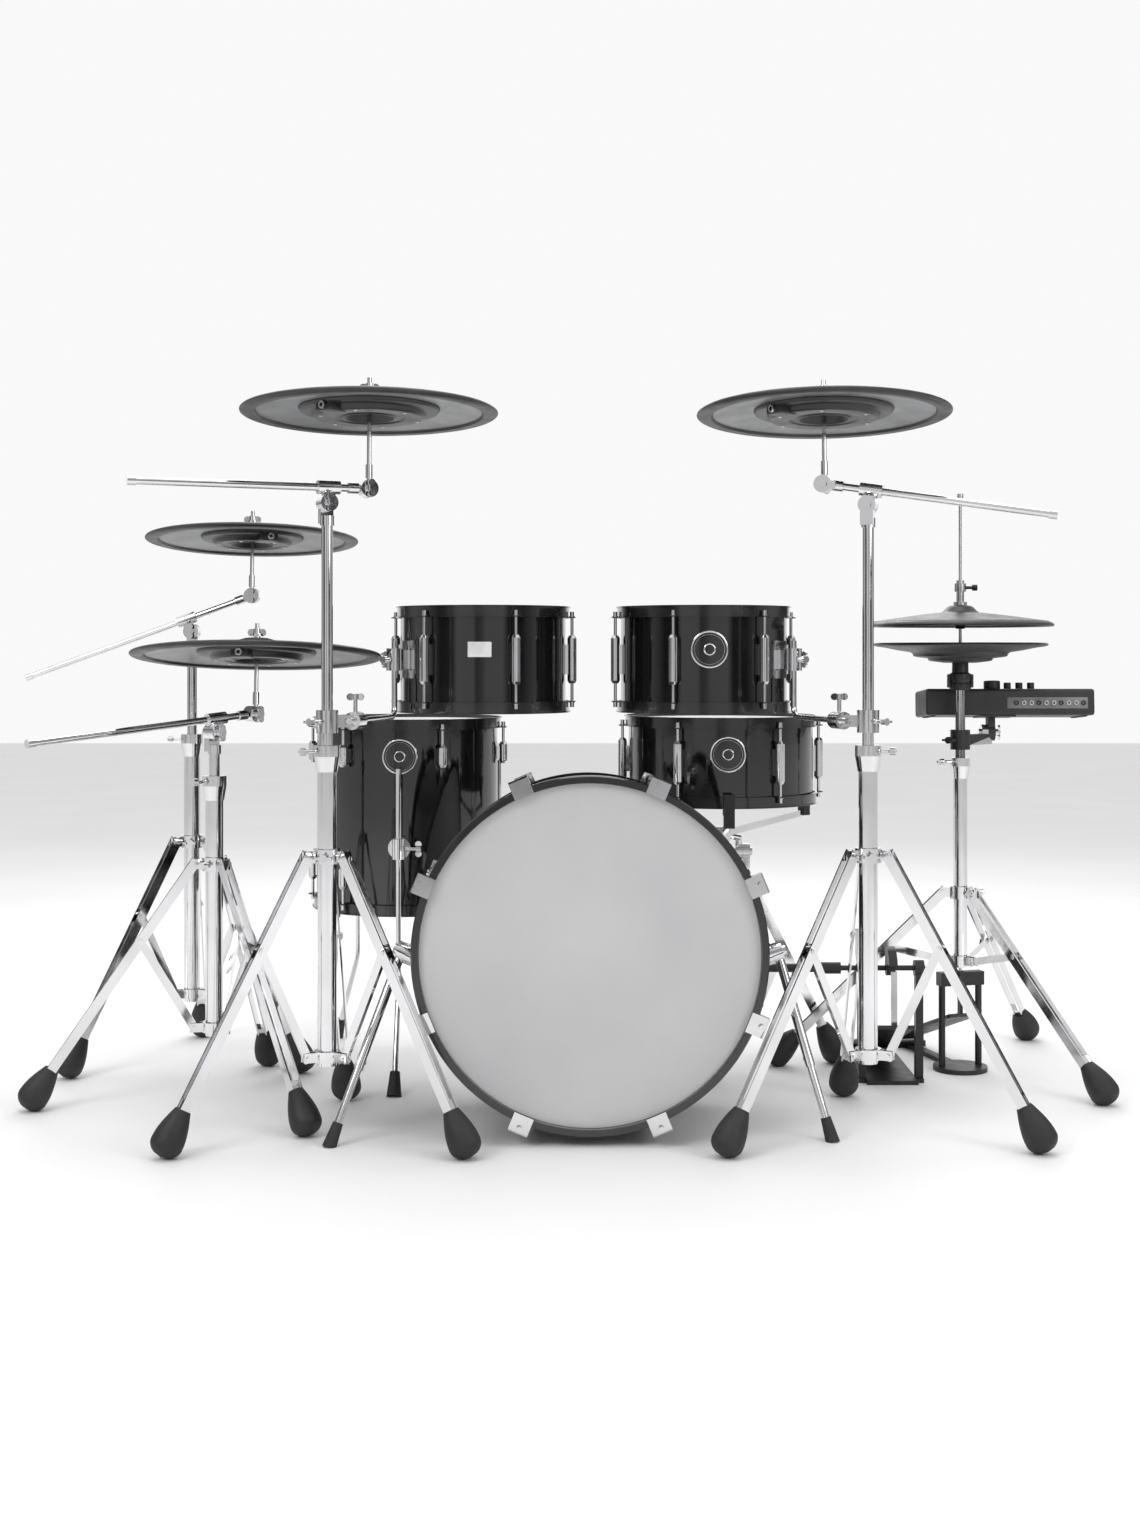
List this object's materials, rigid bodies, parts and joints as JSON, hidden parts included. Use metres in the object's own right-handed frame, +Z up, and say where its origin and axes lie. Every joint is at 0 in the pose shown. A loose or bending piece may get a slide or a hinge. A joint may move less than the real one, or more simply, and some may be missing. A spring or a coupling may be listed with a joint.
{
  "type": "drum kit",
  "caption": "Drum kit with black drums, rubber pad cymbals on chrome boom stands, hi-hat, double bass pedal and sound module.",
  "frame": {"origin": "centre of the bounding box in plan, on the floor", "axes": "+X to the right seen from the audience, +Y from the audience towards the player, +Z up"},
  "size_m": [2.1042, 1.0736, 1.275],
  "materials": {
    "shell_lacquer": "black high-gloss lacquer on wood shells",
    "white_head": "smooth white coated film",
    "mesh_head": null,
    "black_hoop": "gloss black",
    "rubber": "matt black rubber",
    "pad_rubber": "satin black rubber",
    "module_plastic": "fine-grained black",
    "pedal_black": "black powder coat",
    "steel": "plated steel",
    "chrome": "polished chrome plate"
  },
  "bodies": {
    "kit": {"bass_shell": "shell_lacquer", "bass_heads": "white_head", "bass_hoops": "black_hoop", "bass_lugs": "chrome", "floor_tom_shell": "shell_lacquer", "floor_tom_hoops": "black_hoop", "floor_tom_heads": "mesh_head", "floor_tom_lugs": "chrome", "floor_tom_legs": "chrome", "snare_stand": "chrome", "pedal_frames": "pedal_black", "hihat_stand": "chrome", "hihat_bottom_pad": "pad_rubber", "rubber_feet": "rubber", "front_left_tripod": "chrome", "front_right_tripod": "chrome", "near_left_tripod": "chrome", "far_left_tripod": "chrome"},
    "spur_left": {"bass_spur_left": "chrome"},
    "spur_right": {"bass_spur_right": "chrome"},
    "front_left_mast": {"front_left_mast": "chrome"},
    "front_left_boom": {"front_left_boom": "chrome"},
    "front_left_post": {"front_left_post": "chrome"},
    "crash_left": {"crash_left": "pad_rubber"},
    "front_right_mast": {"front_right_mast": "chrome"},
    "front_right_boom": {"front_right_boom": "chrome"},
    "front_right_post": {"front_right_post": "chrome"},
    "crash_right": {"crash_right": "pad_rubber"},
    "near_left_mast": {"near_left_mast": "chrome"},
    "near_left_boom": {"near_left_boom": "chrome"},
    "near_left_post": {"near_left_post": "chrome"},
    "ride": {"ride": "pad_rubber"},
    "far_left_mast": {"far_left_mast": "chrome"},
    "far_left_boom": {"far_left_boom": "chrome"},
    "far_left_post": {"far_left_post": "chrome"},
    "crash_middle": {"crash_middle": "pad_rubber"},
    "tom_left_arm": {"tom_left_arm": "chrome"},
    "tom_left": {"tom_left_shell": "shell_lacquer", "tom_left_hoops": "black_hoop", "tom_left_heads": "mesh_head", "tom_left_lugs": "chrome"},
    "tom_right_arm": {"tom_right_arm": "chrome"},
    "tom_right": {"tom_right_shell": "shell_lacquer", "tom_right_hoops": "black_hoop", "tom_right_heads": "mesh_head", "tom_right_lugs": "chrome"},
    "snare": {"snare_basket": "chrome", "snare_shell": "shell_lacquer", "snare_hoops": "black_hoop", "snare_heads": "mesh_head", "snare_lugs": "chrome"},
    "kick_footboard": {"kick_footboard": "pedal_black"},
    "kick_beater": {"kick_beater": "steel"},
    "slave_footboard": {"slave_footboard": "pedal_black"},
    "slave_drive": {"slave_drive": "steel"},
    "hihat_footboard": {"hihat_footboard": "steel"},
    "hihat_pull": {"hihat_rod": "steel", "hihat_top_pad": "pad_rubber"},
    "module": {"module_case": "module_plastic"},
    "module_dial": {"module_dial": "module_plastic"}
  },
  "joints": [
    {"name": "spur_left_fold", "type": "hinge", "parent": "kit", "child": "spur_left", "pos_m": [-0.25177, -0.29824, 0.30157], "axis": [0.9313, 0, -0.3642], "range_deg": [0, 100]},
    {"name": "spur_right_fold", "type": "hinge", "parent": "kit", "child": "spur_right", "pos_m": [0.36703, -0.29824, 0.30157], "axis": [0.9561, 0, 0.2931], "range_deg": [0, 100]},
    {"name": "front_left_height", "type": "slide", "parent": "kit", "child": "front_left_mast", "axis": [0, 0, 1], "range_m": [0, 0.1]},
    {"name": "front_left_boom_tilt", "type": "hinge", "parent": "front_left_mast", "child": "front_left_boom", "pos_m": [-0.38037, -0.34087, 1.059], "axis": [0.3987, -0.9171, 0], "range_deg": [-15, 15]},
    {"name": "front_left_post_tilt", "type": "hinge", "parent": "front_left_boom", "child": "front_left_post", "pos_m": [-0.31468, -0.32141, 1.084], "axis": [0.3987, -0.9171, 0], "range_deg": [-12, 12]},
    {"name": "crash_left_swing", "type": "hinge", "parent": "front_left_post", "child": "crash_left", "pos_m": [-0.31195, -0.31958, 1.23879], "axis": [1, 0, 0], "range_deg": [-5, 5], "stiffness_Nm_per_rad": 3},
    {"name": "front_right_height", "type": "slide", "parent": "kit", "child": "front_right_mast", "axis": [0, 0, 1], "range_m": [0, 0.1]},
    {"name": "front_right_boom_tilt", "type": "hinge", "parent": "front_right_mast", "child": "front_right_boom", "pos_m": [0.52463, -0.32287, 1.057], "axis": [0.3256, 0.9455, 0], "range_deg": [-15, 15]},
    {"name": "front_right_post_tilt", "type": "hinge", "parent": "front_right_boom", "child": "front_right_post", "pos_m": [0.45446, -0.28988, 1.09452], "axis": [0.3256, 0.9455, 0], "range_deg": [-12, 12]},
    {"name": "crash_right_swing", "type": "hinge", "parent": "front_right_post", "child": "crash_right", "pos_m": [0.45669, -0.27308, 1.24216], "axis": [1, 0, 0], "range_deg": [-5, 5], "stiffness_Nm_per_rad": 3},
    {"name": "near_left_height", "type": "slide", "parent": "kit", "child": "near_left_mast", "axis": [0, 0, 1], "range_m": [0, 0.1]},
    {"name": "near_left_boom_tilt", "type": "hinge", "parent": "near_left_mast", "child": "near_left_boom", "pos_m": [-0.61527, -0.08787, 0.6655], "axis": [0.7071, -0.7071, 0], "range_deg": [0, 8]},
    {"name": "near_left_post_tilt", "type": "hinge", "parent": "near_left_boom", "child": "near_left_post", "pos_m": [-0.55315, -0.03755, 0.69755], "axis": [0.7071, -0.7071, 0], "range_deg": [0, 6]},
    {"name": "ride_swing", "type": "hinge", "parent": "near_left_post", "child": "ride", "pos_m": [-0.54831, -0.02834, 0.83132], "axis": [1, 0, 0], "range_deg": [-5, 5], "stiffness_Nm_per_rad": 3},
    {"name": "far_left_height", "type": "slide", "parent": "kit", "child": "far_left_mast", "axis": [0, 0, 1], "range_m": [0, 0.1]},
    {"name": "far_left_boom_tilt", "type": "hinge", "parent": "far_left_mast", "child": "far_left_boom", "pos_m": [-0.72327, 0.25813, 0.852], "axis": [0, -1, 0], "range_deg": [-15, 15]},
    {"name": "far_left_post_tilt", "type": "hinge", "parent": "far_left_boom", "child": "far_left_post", "pos_m": [-0.60309, 0.24978, 0.92235], "axis": [0, -1, 0], "range_deg": [-12, 12]},
    {"name": "crash_middle_swing", "type": "hinge", "parent": "far_left_post", "child": "crash_middle", "pos_m": [-0.60309, 0.25478, 1.05783], "axis": [1, 0, 0], "range_deg": [-5, 5], "stiffness_Nm_per_rad": 3},
    {"name": "tom_left_arm_tilt", "type": "hinge", "parent": "front_left_mast", "child": "tom_left_arm", "pos_m": [-0.33795, -0.29844, 0.69422], "axis": [-0.2117, -0.9773, 0], "range_deg": [0, 5]},
    {"name": "tom_left_swivel", "type": "hinge", "parent": "tom_left_arm", "child": "tom_left", "pos_m": [-0.29151, -0.08407, 0.79712], "axis": [0, 0, 1], "range_deg": [-12, 0]},
    {"name": "tom_right_arm_tilt", "type": "hinge", "parent": "front_right_mast", "child": "tom_right_arm", "pos_m": [0.4822, -0.28044, 0.69422], "axis": [-0.2672, 0.9637, 0], "range_deg": [0, 5]},
    {"name": "tom_right_swivel", "type": "hinge", "parent": "tom_right_arm", "child": "tom_right", "pos_m": [0.42776, -0.08407, 0.79712], "axis": [0, 0, 1], "range_deg": [0, 12]},
    {"name": "snare_basket_tilt", "type": "hinge", "parent": "kit", "child": "snare", "pos_m": [0.36463, 0.24553, 0.418], "axis": [-1, 0, 0], "range_deg": [-3, 1.5]},
    {"name": "kick_footboard_press", "type": "hinge", "parent": "kit", "child": "kick_footboard", "pos_m": [0.05763, 0.32473, 0.022], "axis": [1, 0, 0], "range_deg": [0, 8], "stiffness_Nm_per_rad": 6, "springref_deg": -28.65},
    {"name": "kick_beater_swing", "type": "hinge", "parent": "kit", "child": "kick_beater", "pos_m": [0.05763, 0.08573, 0.214], "axis": [1, 0, 0], "range_deg": [0, 51.55]},
    {"name": "slave_footboard_press", "type": "hinge", "parent": "kit", "child": "slave_footboard", "pos_m": [0.62963, 0.32473, 0.022], "axis": [1, 0, 0], "range_deg": [0, 8], "stiffness_Nm_per_rad": 6, "springref_deg": -28.65},
    {"name": "slave_drive_turn", "type": "hinge", "parent": "kit", "child": "slave_drive", "pos_m": [0.62963, 0.08573, 0.214], "axis": [1, 0, 0], "range_deg": [0, 51.55]},
    {"name": "hihat_footboard_press", "type": "hinge", "parent": "kit", "child": "hihat_footboard", "pos_m": [0.71597, 0.41543, 0.022], "axis": [0.9613, 0.2756, 0], "range_deg": [0, 6], "stiffness_Nm_per_rad": 12, "springref_deg": -45.84},
    {"name": "hihat_rod_slide", "type": "slide", "parent": "kit", "child": "hihat_pull", "axis": [0, 0, -1], "range_m": [0, 0.0252]},
    {"name": "module_tilt", "type": "hinge", "parent": "kit", "child": "module", "pos_m": [0.84813, 0.25073, 0.652], "axis": [1, 0, 0], "range_deg": [-20, 5]},
    {"name": "module_dial_turn", "type": "hinge", "parent": "module", "child": "module_dial", "pos_m": [0.85813, 0.25068, 0.73721], "axis": [0, 0.0698, 0.9976], "continuous": true}
  ],
  "couplings": [
    {"joint": "kick_beater_swing", "follows": "kick_footboard_press", "ratio": 6.4318},
    {"joint": "slave_drive_turn", "follows": "slave_footboard_press", "ratio": 6.4318},
    {"joint": "hihat_rod_slide", "follows": "hihat_footboard_press", "m_per_rad": 0.24}
  ]
}
